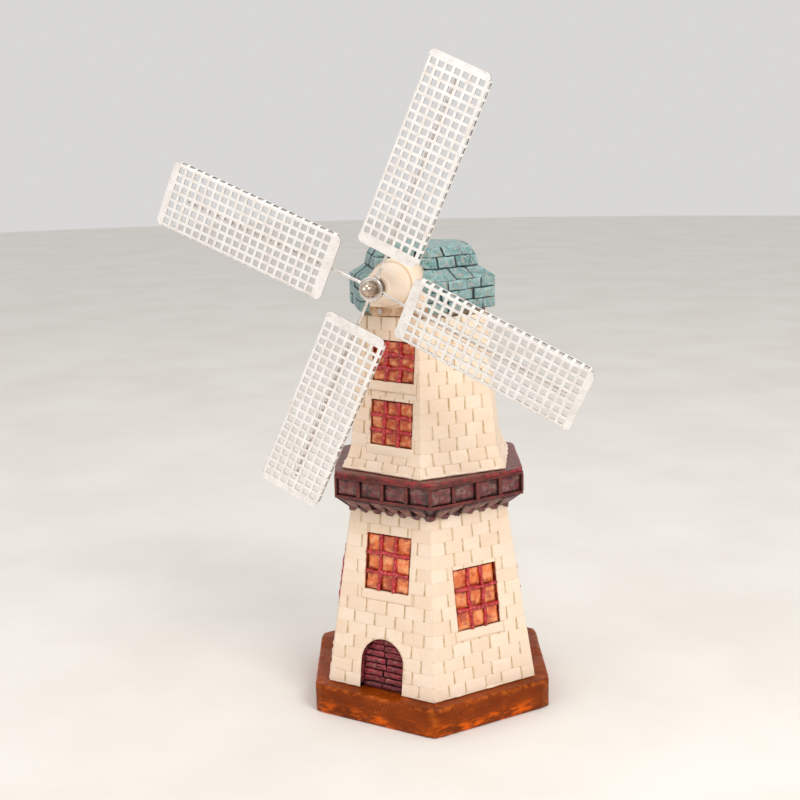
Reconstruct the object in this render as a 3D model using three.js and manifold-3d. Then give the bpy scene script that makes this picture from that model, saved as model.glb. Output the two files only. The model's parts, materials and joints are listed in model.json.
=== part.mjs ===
// A hand-painted resin windmill ornament: six-sided castings stacked on a plinth, and a rotor of four
// perforated metal sails that turns freely on a fixed stud in front of the cap.
// Units are millimetres. +Z is up, the front (door, front windows and rotor) faces -Y, and the origin
// is the centre of the felt pad's underside.

import * as THREE from 'three'
import { mergeGeometries, mergeVertices } from 'three/addons/utils/BufferGeometryUtils.js'
import Module from 'manifold-3d'

const wasm = await Module()
wasm.setup()

// ---------------------------------------------------------------------------------------------
// Driving dimensions
// ---------------------------------------------------------------------------------------------

const GAP = 0.3 // glue line or running clearance between neighbouring pieces
const SIDES = 6
const FACE_STEP = (2 * Math.PI) / SIDES
const APOTHEM = Math.cos(Math.PI / SIDES) // apothem of a hexagon of radius 1
const ROUND_STEPS = 24 // segments of the round pieces
const ROD_STEPS = 12 // segments of the thin rods
const OVERCUT = 1 // how far a cut runs past the surface it opens

// Castings. Every radius of a six-sided piece is measured to its corner.
const FELT = { radius: 50, thickness: 0.7 }
const PLINTH = { radius: 57.7, bottom: 0.2, top: 12.4, bevel: 1.2, pocketDepth: 0.8 }
const LOWER_TOWER = { bottomRadius: 50.6, topRadius: 37.6, bottom: 12.7, top: 87.2 }
const GALLERY = { neckRadius: 38.2, radius: 45.3, bottom: 87.5, eave: 92.6, top: 103.5, bevel: 0.8 }
const UPPER_TOWER = { bottomRadius: 35.9, topRadius: 29.3, bottom: 103.8, top: 167.4 }
const UPPER_TURN = THREE.MathUtils.degToRad(-6) // how far the upper tower is turned on the lower one
const FOOTING = { radius: 40.6, height: 7, steps: 4 }
const SPIGOT = { radius: 12, height: 3 } // round spigot on top of each casting, for the next one

// Gallery panels
const PANEL = { perFace: 4, width: 8.2, height: 7.6, depth: 1.1, pitch: 10.4 }

// Windows and door, in the plane of their wall
const WINDOW = { width: 21, paneThickness: 1.2, barWidth: 1.7, stand: 0.3, bars: 2 }
const SILL = { overhang: 1.5, height: 4, stand: 1.2, foot: 1.5 }
const DOOR = { width: 20, height: 22, recess: 4, leafThickness: 1.6, groove: 0.5, planks: 6 }
const LOWER_FRONT_WINDOW = { height: 66, rise: 24, recess: 3.6 }
const LOWER_SIDE_WINDOW = { height: 51.5, rise: 26, recess: 3.6 }
const UPPER_FRONT_WINDOWS = {
  top_front: { height: 149.5, rise: 17, recess: 2.6 },
  middle_front: { height: 124, rise: 19, recess: 2.6 }
}
const UPPER_WINDOW_OFFSET = 2.6 // the upper windows sit toward the right corner of their wall
const LOWER_WALLS = ['front', 'right', 'rear_right', 'rear', 'rear_left', 'left']

// Cap, turned a little to one side on the tower like a real mill's cap and glued on slightly off centre
const CAP_TURN = THREE.MathUtils.degToRad(9.5)
const CAP_SHIFT = { x: -1.3, y: -0.7 }
const CAP = { bottom: 169.7, skirtTop: 182.6, kink: 186.8, shoulder: 193.4, top: 195.6 }
const CAP_RADIUS = { bottom: 32.4, skirtTop: 32.4, kink: 25.4, shoulder: 23.4, top: 21.2 }
const NOTCH = { halfWidth: 12.5, top: 173.4 }
const COLLAR = { radius: 26.5, bottom: 167.7, top: 171.5 }
const COLLAR_SCREW = { headRadius: 1.1, headDepth: 0.9, shankRadius: 0.6, shankLength: 3, offset: -9.5 }

// Windshaft boss, stud and hub. A distance along the rotor's axis is measured from the tower's axis.
const AXIS_HEIGHT = 183
const BOSS = { rear: 14, coneRear: 28, step: 35.4, front: 51.5 }
const BOSS_RADIUS = { rear: 10.1, stepRear: 8.95, stepFront: 8.65, front: 5.2 }
const STUD = { radius: 1.5, rear: 18 }
const WASHER = { radius: 4.7, thickness: 1, bevel: 0.4 }
const BACK_WASHER = { radius: 4, thickness: 0.8 }
const HUB = { radius: 4.2, thickness: 3.4, boreRadius: 2.6 }
const BUSH_RADIUS = 2.3
const NUT = { acrossFlats: 5.5, hexHeight: 2.4, neck: 0.4, domeRadius: 2.6, threadDepth: 4 }

// Sails and spokes
const SAIL_NAMES = ['top', 'right', 'bottom', 'left']
const ROTOR_START = THREE.MathUtils.degToRad(24.5) // the first sail's lean from upright, to the right
const SPOKE = { radius: 0.6, start: 3, end: 84 }
const SAIL = { inner: 15.5, outer: 91.6, width: 26.6, thickness: 0.8, lip: 1.4 }
const SAIL_CORNER = { radius: 2.4, steps: 3 }
const HOLE = { size: 2.3, pitch: 3.5, columns: 7, rows: 20, rootBand: 4.2 }

// Each arm is set by hand: how far it leans from its quarter, and its sail's twist and reach on the spoke
const ARM_LEANS = [-0.4, 1.5, 0.5, -1.6].map(THREE.MathUtils.degToRad)
const SAIL_TWISTS = [-7, 11, 1.5, 0.5].map(THREE.MathUtils.degToRad)
const SAIL_REACHES = [-1.2, -1, 0, 2.6]

// ---------------------------------------------------------------------------------------------
// Solids
// ---------------------------------------------------------------------------------------------

// A closed surface as a solid, without the triangles that turning folds flat on the axis
function solid(geometry) {
  const bare = geometry.clone()
  bare.deleteAttribute('normal')
  bare.deleteAttribute('uv')
  const merged = mergeVertices(bare, 1e-4)
  const index = merged.index.array
  const triangles = []
  for (let i = 0; i < index.length; i += 3) {
    const [a, b, c] = [index[i], index[i + 1], index[i + 2]]
    if (a !== b && b !== c && c !== a) triangles.push(a, b, c)
  }
  const mesh = new wasm.Mesh({
    numProp: 3,
    vertProperties: new Float32Array(merged.attributes.position.array),
    triVerts: new Uint32Array(triangles)
  })
  return new wasm.Manifold(mesh)
}

// The flat-shaded surface of a solid
function geometryOf(body) {
  const mesh = body.getMesh()
  const geometry = new THREE.BufferGeometry()
  geometry.setAttribute('position', new THREE.BufferAttribute(new Float32Array(mesh.vertProperties), 3))
  geometry.setIndex(new THREE.BufferAttribute(new Uint32Array(mesh.triVerts), 1))
  const flat = geometry.toNonIndexed()
  flat.computeVertexNormals()
  return flat
}

// An upright piece turned from [radius, height] points, with the given number of sides
function turned(points, sides = ROUND_STEPS, start = 0) {
  const profile = points.map(([radius, height]) => new THREE.Vector2(radius, height))
  return solid(new THREE.LatheGeometry(profile, sides, start).rotateX(Math.PI / 2))
}

// A six-sided piece with one flat face to the front
function hexagonal(points) {
  return turned(points, SIDES, FACE_STEP / 2)
}

// A round rod or tube along the rotor's axis, from [radius, distance] points, at the axis height
function alongAxis(points, sides = ROUND_STEPS) {
  return turned(points, sides).transform(matrixArray(axisPlace()))
}

function box(width, depth, height, x = 0, y = 0, z = 0) {
  return solid(new THREE.BoxGeometry(width, depth, height).translate(x, y, z))
}

function matrixArray(matrix) {
  return [...matrix.elements]
}

// Turns an upright piece's +Z to the front (-Y) and lifts it to the height of the rotor's axis
function axisPlace() {
  return forwardTurn().setPosition(0, 0, AXIS_HEIGHT)
}

function forwardTurn() {
  return new THREE.Matrix4().makeRotationX(Math.PI / 2)
}

function cylinderPoints(radius, from, to) {
  return [[0, from], [radius, from], [radius, to], [0, to]]
}

function tubePoints(outer, inner, from, to) {
  return [[inner, from], [outer, from], [outer, to], [inner, to], [inner, from]]
}

// ---------------------------------------------------------------------------------------------
// Wall frames
// ---------------------------------------------------------------------------------------------

// The frame of a sloping wall at a given height: x along the wall, y up its slope, z outward
function wallFrame(tower, wall, height, turn = 0, offset = 0) {
  const heading = wall * FACE_STEP + turn
  const rise = tower.top - tower.bottom
  const lean = Math.atan(((tower.bottomRadius - tower.topRadius) * APOTHEM) / rise)
  const share = (height - tower.bottom) / rise
  const distance = THREE.MathUtils.lerp(tower.bottomRadius, tower.topRadius, share) * APOTHEM
  const outward = new THREE.Vector3(Math.sin(heading), -Math.cos(heading), 0)
  const along = new THREE.Vector3(Math.cos(heading), Math.sin(heading), 0)
  const up = new THREE.Vector3(0, 0, Math.cos(lean)).addScaledVector(outward, -Math.sin(lean))
  const normal = new THREE.Vector3().crossVectors(along, up)
  const origin = outward.clone().multiplyScalar(distance).addScaledVector(along, offset).setZ(height)
  return new THREE.Matrix4().makeBasis(along, up, normal).setPosition(origin)
}

// A block in a wall's frame, reaching from one depth to another along its normal
function wallBlock(frame, width, height, from, to, x = 0, y = 0) {
  const block = box(width, height, to - from, x, y, (from + to) / 2)
  return block.transform(matrixArray(frame))
}

function windowPocket({ frame, rise, recess }) {
  return wallBlock(frame, WINDOW.width, rise, -recess, SILL.stand * 2)
}

function windowSill({ frame, rise }) {
  const y = -(rise + SILL.height) / 2
  return wallBlock(frame, WINDOW.width + 2 * SILL.overhang, SILL.height, -SILL.foot, SILL.stand, 0, y)
}

function windowPanes({ frame, rise, recess }) {
  const from = -recess + GAP
  return wallBlock(frame, WINDOW.width - 2 * GAP, rise - 2 * GAP, from, from + WINDOW.paneThickness)
}

// Two upright and two level glazing bars that cross in front of the panes
function windowLattice({ frame, rise, recess }) {
  const from = -recess + 2 * GAP + WINDOW.paneThickness
  const to = WINDOW.stand
  const clearWidth = WINDOW.width - 2 * GAP
  const clearRise = rise - 2 * GAP
  let lattice = null
  for (let bar = 1; bar <= WINDOW.bars; bar++) {
    const share = bar / (WINDOW.bars + 1) - 0.5
    const upright = wallBlock(frame, WINDOW.barWidth, clearRise, from, to, share * clearWidth, 0)
    const level = wallBlock(frame, clearWidth, WINDOW.barWidth, from, to, 0, share * clearRise)
    lattice = lattice ? lattice.add(upright).add(level) : upright.add(level)
  }
  return lattice
}

// An upright arched outline, standing on y = 0
function archShape(width, height) {
  const radius = width / 2
  const shape = new THREE.Shape()
  shape.moveTo(-radius, 0)
  shape.lineTo(radius, 0)
  shape.lineTo(radius, height - radius)
  shape.absarc(0, height - radius, radius, 0, Math.PI, false)
  shape.closePath()
  return shape
}

function archBlock(frame, width, height, from, to, lift) {
  const extrusion = new THREE.ExtrudeGeometry(archShape(width, height), {
    depth: to - from,
    bevelEnabled: false,
    curveSegments: ROUND_STEPS / 2
  })
  return solid(extrusion.translate(0, lift, from)).transform(matrixArray(frame))
}

// ---------------------------------------------------------------------------------------------
// Fixed pieces
// ---------------------------------------------------------------------------------------------

function feltPad() {
  return hexagonal(cylinderPoints(FELT.radius, 0, FELT.thickness))
}

function spigot(floor) {
  return turned(cylinderPoints(SPIGOT.radius, floor - OVERCUT, floor + SPIGOT.height))
}

function socket(floor) {
  return turned(cylinderPoints(SPIGOT.radius + GAP, floor - OVERCUT, floor + SPIGOT.height + GAP))
}

function plinth() {
  const { radius, bottom, top, bevel, pocketDepth } = PLINTH
  const side = [[radius, bottom], [radius, top - bevel], [radius - bevel, top]]
  const slab = hexagonal([[0, bottom], ...side, [0, top]])
  const pocket = hexagonal(cylinderPoints(FELT.radius + GAP, bottom - OVERCUT, bottom + pocketDepth))
  return slab.subtract(pocket).add(spigot(top))
}

function doorFrame() {
  return wallFrame(LOWER_TOWER, 0, LOWER_TOWER.bottom)
}

function lowerTower() {
  const { bottomRadius, topRadius, bottom, top } = LOWER_TOWER
  let tower = hexagonal([[0, bottom], [bottomRadius, bottom], [topRadius, top], [0, top]])
  tower = tower.subtract(socket(bottom)).add(spigot(top))
  for (const window of lowerWindows()) tower = tower.add(windowSill(window)).subtract(windowPocket(window))
  return tower.subtract(doorway())
}

// The arched opening for the door, cut right through the bottom edge of the wall
function doorway() {
  return archBlock(doorFrame(), DOOR.width, DOOR.height + OVERCUT, -DOOR.recess, OVERCUT, -OVERCUT)
}

function lowerWindows() {
  return LOWER_WALLS.map((name, wall) => {
    const { height, rise, recess } = wall === 0 ? LOWER_FRONT_WINDOW : LOWER_SIDE_WINDOW
    return { name: `lower_${name}`, rise, recess, frame: wallFrame(LOWER_TOWER, wall, height) }
  })
}

// A door leaf of level planks in two columns, marked by shallow grooves
function doorLeaf() {
  const from = -DOOR.recess + GAP
  const to = from + DOOR.leafThickness
  const frame = doorFrame()
  const clearHeight = DOOR.height - 2 * GAP
  let leaf = archBlock(frame, DOOR.width - 2 * GAP, clearHeight, from, to, GAP)
  const grooveFloor = to - DOOR.groove
  for (let row = 1; row < DOOR.planks; row++) {
    const y = GAP + (row * clearHeight) / DOOR.planks
    leaf = leaf.subtract(wallBlock(frame, DOOR.width, DOOR.groove, grooveFloor, to + OVERCUT, 0, y))
  }
  return leaf.subtract(wallBlock(frame, DOOR.groove, 2 * DOOR.height, grooveFloor, to + OVERCUT))
}

// The maroon gallery: a corbelled underside, a band of recessed panels and a flat deck
function gallery() {
  const { neckRadius, radius, bottom, eave, top, bevel } = GALLERY
  const side = [[neckRadius, bottom], [radius, eave], [radius, top - bevel], [radius - bevel, top]]
  let drum = hexagonal([[0, bottom], ...side, [0, top]]).subtract(socket(bottom)).add(spigot(top))
  const band = { bottomRadius: radius, topRadius: radius, bottom: eave, top }
  for (let wall = 0; wall < SIDES; wall++) {
    const frame = wallFrame(band, wall, (eave + top - bevel) / 2)
    for (let panel = 0; panel < PANEL.perFace; panel++) {
      const x = (panel - (PANEL.perFace - 1) / 2) * PANEL.pitch
      drum = drum.subtract(wallBlock(frame, PANEL.width, PANEL.height, -PANEL.depth, OVERCUT, x))
    }
  }
  return drum
}

function upperWindows() {
  return Object.entries(UPPER_FRONT_WINDOWS).map(([name, { height, rise, recess }]) => {
    const frame = wallFrame(UPPER_TOWER, 0, height, UPPER_TURN, UPPER_WINDOW_OFFSET)
    return { name, rise, recess, frame }
  })
}

// Corner radius of the upper tower's straight wall at a height
function upperRadius(height) {
  const share = (height - UPPER_TOWER.bottom) / (UPPER_TOWER.top - UPPER_TOWER.bottom)
  return THREE.MathUtils.lerp(UPPER_TOWER.bottomRadius, UPPER_TOWER.topRadius, share)
}

// The upper tower flares out in a hollow curve to a footing on the deck
function upperTower() {
  const { bottom, top, topRadius } = UPPER_TOWER
  const outline = [[0, bottom]]
  for (let step = 0; step <= FOOTING.steps; step++) {
    const share = step / FOOTING.steps
    const height = bottom + share * FOOTING.height
    const flare = (FOOTING.radius - upperRadius(bottom)) * (1 - share) ** 2
    outline.push([upperRadius(height) + flare, height])
  }
  outline.push([topRadius, top], [0, top])
  let tower = hexagonal(outline).rotate([0, 0, THREE.MathUtils.radToDeg(UPPER_TURN)])
  tower = tower.subtract(socket(bottom)).add(spigot(top).translate([CAP_SHIFT.x, CAP_SHIFT.y, 0]))
  for (const window of upperWindows()) tower = tower.add(windowSill(window)).subtract(windowPocket(window))
  return tower
}

// The ring under the cap, which keeps the cap clear of the tower
function capCollar() {
  const ring = hexagonal(cylinderPoints(COLLAR.radius, COLLAR.bottom, COLLAR.top))
  const screwDepth = COLLAR_SCREW.shankLength + GAP
  const face = COLLAR.radius * APOTHEM
  const bore = turned(cylinderPoints(SPIGOT.radius + GAP, COLLAR.bottom - OVERCUT, COLLAR.top + OVERCUT))
  const screwHole = collarScrewRod(COLLAR_SCREW.shankRadius + GAP, face - screwDepth, face + OVERCUT)
  return ring.subtract(bore).subtract(screwHole)
}

// A round rod toward the front at the collar screw's place, between two distances from the tower's axis
function collarScrewRod(radius, from, to) {
  const place = forwardTurn().setPosition(COLLAR_SCREW.offset, 0, (COLLAR.bottom + COLLAR.top) / 2)
  return turned(cylinderPoints(radius, from, to), ROD_STEPS).transform(matrixArray(place))
}

function collarScrew() {
  const face = COLLAR.radius * APOTHEM
  const { headRadius, headDepth, shankRadius, shankLength } = COLLAR_SCREW
  const shank = collarScrewRod(shankRadius, face - shankLength, face + GAP + headDepth / 2)
  return shank.add(collarScrewRod(headRadius, face + GAP, face + GAP + headDepth))
}

// The tiled cap: an upright skirt, a flared break and a steep roof with a flat top
function cap() {
  const outline = [[0, CAP.bottom]]
  for (const level of Object.keys(CAP_RADIUS)) outline.push([CAP_RADIUS[level], CAP[level]])
  outline.push([0, CAP.top])
  const front = CAP_RADIUS.bottom
  const collarRecess = hexagonal(cylinderPoints(COLLAR.radius + GAP, CAP.bottom - OVERCUT, COLLAR.top + GAP))
  const bossPocket = alongAxis(cylinderPoints(BOSS_RADIUS.rear + GAP, BOSS.rear - GAP, front + OVERCUT))
  const notchHeight = NOTCH.top - CAP.bottom + OVERCUT
  const notch = box(2 * NOTCH.halfWidth, front, notchHeight, 0, -front, NOTCH.top - notchHeight / 2)
  return hexagonal(outline).subtract(collarRecess).subtract(bossPocket).subtract(notch)
}

// The plain cone that carries the stud, with a small step round it
function windshaftBoss() {
  const outline = [
    [0, BOSS.rear],
    [BOSS_RADIUS.rear, BOSS.rear],
    [BOSS_RADIUS.rear, BOSS.coneRear],
    [BOSS_RADIUS.stepRear, BOSS.step],
    [BOSS_RADIUS.stepFront, BOSS.step + GAP],
    [BOSS_RADIUS.front, BOSS.front],
    [0, BOSS.front]
  ]
  const studHole = alongAxis(cylinderPoints(STUD.radius + GAP, STUD.rear - GAP, BOSS.front + OVERCUT))
  return alongAxis(outline).subtract(studHole)
}

// Places along the rotor's axis, stacked forward from the boss with a gap before each piece
const backWasherRear = BOSS.front + GAP
const hubRear = backWasherRear + BACK_WASHER.thickness + GAP
const hubFront = hubRear + HUB.thickness
const spokePlane = (hubRear + hubFront) / 2
const washerRear = hubFront + GAP
const washerFront = washerRear + WASHER.thickness
const nutRear = washerFront + GAP

function stud() {
  return alongAxis(cylinderPoints(STUD.radius, STUD.rear, nutRear + NUT.threadDepth - GAP))
}

function backWasher() {
  const { radius, thickness } = BACK_WASHER
  return alongAxis(tubePoints(radius, STUD.radius + GAP, backWasherRear, backWasherRear + thickness))
}

function frontWasher() {
  const { radius, bevel } = WASHER
  const bore = STUD.radius + GAP
  return alongAxis([
    [bore, washerRear],
    [radius, washerRear],
    [radius, washerFront - bevel],
    [radius - bevel, washerFront],
    [bore, washerFront],
    [bore, washerRear]
  ])
}

// A domed nut: a hexagon under a round dome, with a blind bore for the stud
function acornNut() {
  const cornerRadius = NUT.acrossFlats / 2 / APOTHEM
  const hex = alongAxis(cylinderPoints(cornerRadius, nutRear, nutRear + NUT.hexHeight), SIDES)
  const domeSteps = ROUND_STEPS / 4
  const neckFoot = nutRear + NUT.hexHeight / 2
  const domeFoot = nutRear + NUT.hexHeight + NUT.neck
  const dome = [[0, neckFoot], [NUT.domeRadius, neckFoot]]
  for (let step = 0; step <= domeSteps; step++) {
    const angle = (step / domeSteps) * (Math.PI / 2)
    const radius = step === domeSteps ? 0 : NUT.domeRadius * Math.cos(angle)
    dome.push([radius, domeFoot + NUT.domeRadius * Math.sin(angle)])
  }
  const bore = alongAxis(cylinderPoints(STUD.radius + GAP, nutRear - OVERCUT, nutRear + NUT.threadDepth))
  return hex.add(alongAxis(dome)).subtract(bore)
}

// ---------------------------------------------------------------------------------------------
// Rotor pieces, modelled about the rotor's axis with the first spoke pointing up (+Z)
// ---------------------------------------------------------------------------------------------

function spokeRod(radius, from, to) {
  return turned(cylinderPoints(radius, from, to), ROD_STEPS)
}

function hubDisc() {
  const half = HUB.thickness / 2
  let disc = turned(tubePoints(HUB.radius, HUB.boreRadius, -half, half))
  disc = disc.transform(matrixArray(forwardTurn()))
  for (let spoke = 0; spoke < SAIL_NAMES.length; spoke++) {
    const turn = new THREE.Matrix4().makeRotationY(spokeAngle(spoke))
    const bore = spokeRod(SPOKE.radius + GAP, HUB.boreRadius - OVERCUT, HUB.radius + OVERCUT)
    disc = disc.subtract(bore.transform(matrixArray(turn)))
  }
  return disc
}

function hubBush() {
  const half = HUB.thickness / 2
  const tube = turned(tubePoints(BUSH_RADIUS, STUD.radius + GAP, -half, half))
  return tube.transform(matrixArray(forwardTurn()))
}

function spokeAngle(index) {
  return (index * 2 * Math.PI) / SAIL_NAMES.length + ARM_LEANS[index]
}

// The outline of a sail: a rounded rectangle standing on its root edge
function sailShape() {
  const { inner, outer, width } = SAIL
  const r = SAIL_CORNER.radius
  const half = width / 2
  const shape = new THREE.Shape()
  shape.absarc(half - r, inner + r, r, -Math.PI / 2, 0, false)
  shape.absarc(half - r, outer - r, r, 0, Math.PI / 2, false)
  shape.absarc(-half + r, outer - r, r, Math.PI / 2, Math.PI, false)
  shape.absarc(-half + r, inner + r, r, Math.PI, 1.5 * Math.PI, false)
  return shape
}

// One punch for every square hole of a sail
function holePunches(from, to) {
  const punches = []
  for (let row = 0; row < HOLE.rows; row++) {
    for (let column = 0; column < HOLE.columns; column++) {
      const x = (column - (HOLE.columns - 1) / 2) * HOLE.pitch
      const z = SAIL.inner + HOLE.rootBand + HOLE.size / 2 + row * HOLE.pitch
      const punch = new THREE.BoxGeometry(HOLE.size, to - from, HOLE.size)
      punches.push(punch.translate(x, (from + to) / 2, z))
    }
  }
  return solid(mergeGeometries(punches))
}

// A sail of perforated sheet in front of its spoke, with both long edges folded back as lips
function sail() {
  const sheetBack = -(SPOKE.radius + GAP)
  const sheetFront = sheetBack - SAIL.thickness
  const extrusion = new THREE.ExtrudeGeometry(sailShape(), {
    depth: SAIL.thickness,
    bevelEnabled: false,
    curveSegments: SAIL_CORNER.steps
  })
  let sheet = solid(extrusion.rotateX(Math.PI / 2).translate(0, sheetBack, 0))
  const length = SAIL.outer - SAIL.inner - 2 * SAIL_CORNER.radius
  const middle = (SAIL.inner + SAIL.outer) / 2
  const depth = SAIL.thickness + SAIL.lip
  for (const side of [-1, 1]) {
    const x = (side * (SAIL.width - SAIL.thickness)) / 2
    sheet = sheet.add(box(SAIL.thickness, depth, length, x, sheetFront + depth / 2, middle))
  }
  return sheet.subtract(holePunches(sheetFront - OVERCUT, sheetBack + OVERCUT))
}

// ---------------------------------------------------------------------------------------------
// Materials
// ---------------------------------------------------------------------------------------------

function finish(color, roughness, metalness = 0) {
  return { color, roughness, metalness }
}

const CREAM = finish('#eed7b8', 0.6)
const MAROON = finish('#55202a', 0.5)
const TEAL = finish('#5fa3a6', 0.7)
const PANE = finish('#d27a42', 0.55)
const CRIMSON = finish('#a61f34', 0.45)
const RUST = finish('#8a4018', 0.45)
const DOOR_RED = finish('#6e2233', 0.6)
const GREY = finish('#8d8478', 0.6)
const FELT_GREEN = finish('#2c3a2e', 0.95)
const NICKEL = finish('#d5d1ca', 0.15, 1)
const WIRE = finish('#cfcac2', 0.3, 1)
const BRASS = finish('#b58a45', 0.35, 1)
const SHEET = finish('#e6e1da', 0.4, 0.3)

function piece(name, body, { color, roughness, metalness }) {
  const material = new THREE.MeshStandardMaterial({ color, roughness, metalness })
  const mesh = new THREE.Mesh(geometryOf(body), material)
  mesh.name = name
  return mesh
}

// ---------------------------------------------------------------------------------------------
// Assembly
// ---------------------------------------------------------------------------------------------

function towerGroup() {
  const group = new THREE.Group()
  group.add(piece('felt_pad', feltPad(), FELT_GREEN))
  group.add(piece('plinth', plinth(), RUST))
  group.add(piece('lower_tower', lowerTower(), CREAM))
  group.add(piece('front_door', doorLeaf(), DOOR_RED))
  group.add(piece('gallery', gallery(), MAROON))
  group.add(piece('upper_tower', upperTower(), CREAM))
  for (const window of [...lowerWindows(), ...upperWindows()]) {
    group.add(piece(`${window.name}_window_panes`, windowPanes(window), PANE))
    group.add(piece(`${window.name}_window_lattice`, windowLattice(window), CRIMSON))
  }
  return group
}

function capGroup() {
  const group = new THREE.Group()
  group.position.set(CAP_SHIFT.x, CAP_SHIFT.y, 0)
  group.rotation.z = CAP_TURN
  group.add(piece('cap_collar', capCollar(), GREY))
  group.add(piece('collar_screw', collarScrew(), NICKEL))
  group.add(piece('cap', cap(), TEAL))
  group.add(piece('windshaft_boss', windshaftBoss(), CREAM))
  group.add(piece('rotor_stud', stud(), WIRE))
  group.add(piece('back_washer', backWasher(), NICKEL))
  group.add(piece('front_washer', frontWasher(), NICKEL))
  group.add(piece('acorn_nut', acornNut(), NICKEL))
  group.add(rotorGroup())
  return group
}

function rotorGroup() {
  const group = new THREE.Group()
  group.position.set(0, -spokePlane, AXIS_HEIGHT)
  group.rotation.y = ROTOR_START
  group.add(piece('hub_disc', hubDisc(), NICKEL))
  group.add(piece('hub_bush', hubBush(), BRASS))
  SAIL_NAMES.forEach((name, index) => {
    const arm = new THREE.Group()
    arm.rotation.y = spokeAngle(index)
    arm.add(piece(`${name}_spoke`, spokeRod(SPOKE.radius, SPOKE.start, SPOKE.end), WIRE))
    const blade = piece(`${name}_sail`, sail(), SHEET)
    blade.position.z = SAIL_REACHES[index]
    blade.rotation.z = SAIL_TWISTS[index]
    arm.add(blade)
    group.add(arm)
  })
  return group
}

const windmill = new THREE.Group()
windmill.add(towerGroup(), capGroup())

export default windmill
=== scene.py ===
"""The looks of the windmill ornament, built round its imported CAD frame.

Shapes are worked out in millimetres and become metres as each piece is built. +Z is up, and the
front, with the door and the rotor, faces -Y.
"""

import json
import random
from math import atan2, ceil, copysign, cos, pi, radians, sin, tan, tau

import bpy
from mathutils import Matrix, Vector, noise


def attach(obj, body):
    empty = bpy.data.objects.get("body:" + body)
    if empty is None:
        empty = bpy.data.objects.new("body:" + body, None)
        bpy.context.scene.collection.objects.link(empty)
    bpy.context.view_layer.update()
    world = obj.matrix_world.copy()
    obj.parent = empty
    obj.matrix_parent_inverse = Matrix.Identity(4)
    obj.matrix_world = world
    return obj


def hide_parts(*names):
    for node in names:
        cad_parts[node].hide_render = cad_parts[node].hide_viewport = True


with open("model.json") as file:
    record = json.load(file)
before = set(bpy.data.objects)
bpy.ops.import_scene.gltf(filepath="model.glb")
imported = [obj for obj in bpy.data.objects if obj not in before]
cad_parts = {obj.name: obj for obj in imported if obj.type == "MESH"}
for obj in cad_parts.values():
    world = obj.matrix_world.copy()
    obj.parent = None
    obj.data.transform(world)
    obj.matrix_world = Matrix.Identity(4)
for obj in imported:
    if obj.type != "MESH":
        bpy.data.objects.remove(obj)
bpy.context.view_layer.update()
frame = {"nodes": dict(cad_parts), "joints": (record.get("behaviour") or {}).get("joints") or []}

MM = 0.001  # metres in a millimetre
SIDES = 6
FACE_STEP = tau / SIDES
APOTHEM = cos(pi / SIDES)
MITRE = tan(pi / SIDES)  # how far a wall's end draws in per unit of depth behind its face
UP = Vector((0, 0, 1))
FACING = Matrix.Rotation(pi / 2, 4, "X")  # stands a flat drawing up to face the front

# ---- Dimensions of the CAD, in millimetres ----

GAP = 0.3

# Outlines of the six-sided castings: (corner radius, height) from the bottom up
PLINTH = ((57.7, 0.2), (57.7, 12.4))
LOWER_TOWER = ((50.6, 12.7), (37.6, 87.2))
GALLERY = ((38.2, 87.5), (45.3, 92.6), (45.3, 103.5))
UPPER_TOWER = ((39.6, 103.8), (37.1, 108), (35.1, 113), (29.3, 167.4))
UPPER_TURN = radians(-6)
CAP = ((32.4, 169.7), (32.4, 182.6), (25.4, 186.8), (24.2, 191.4), (21.4, 195.4))
NOTCH = dict(half_width=12.5, top=173.4, rear=18)
PLATE = dict(foot=172, top=177.6)  # the plain face under the boss

# Windows: wall, height of the middle, rise in the wall's own slope, offset along the wall
LOWER_WINDOWS = {"lower_front": (0, 66, 24, 0)}
for wall, side in enumerate(("right", "rear_right", "rear", "rear_left", "left"), 1):
    LOWER_WINDOWS[f"lower_{side}"] = (wall, 51.5, 26, 0)
UPPER_WINDOWS = {"top_front": (0, 149.5, 17, 2.6), "middle_front": (0, 124, 19, 2.6)}
RECESS = {"lower_tower": 3.6, "upper_tower": 2.6}
WINDOW = dict(width=21, lattice_face=0.3)
SILL = dict(overhang=1.5, height=4)
SILL_LIFT = {"lower_tower": 0.12, "upper_tower": 0.5}  # how far the sills stand out
DOOR = dict(width=20, height=22, recess=4, face=-2.1)
OVERCUT = 4  # how far a cutting tool reaches past the face that it cuts

# Along the rotor's axis, measured forward from the cap's middle
STUD_RADIUS = 1.5
BORE = STUD_RADIUS + GAP
BOSS = dict(rear=14, cone_rear=28, step=35.4, front=51.5)
BOSS_RADIUS = dict(rear=10.1, step=8.8, front=5.2)
BACK_WASHER = dict(rear=51.8, front=52.6, radius=4, bore=BORE, edge=0.12)
HUB = dict(rear=52.9, front=56.3, radius=4.2, bore=2.6, edge=0.25)
FRONT_WASHER = dict(rear=56.6, front=57.6, radius=4.7, bore=BORE, edge=0.32)
NUT = dict(rear=57.9, hexagon=60.3, dome=60.7, across_flats=5.5, dome_radius=2.6)

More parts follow.
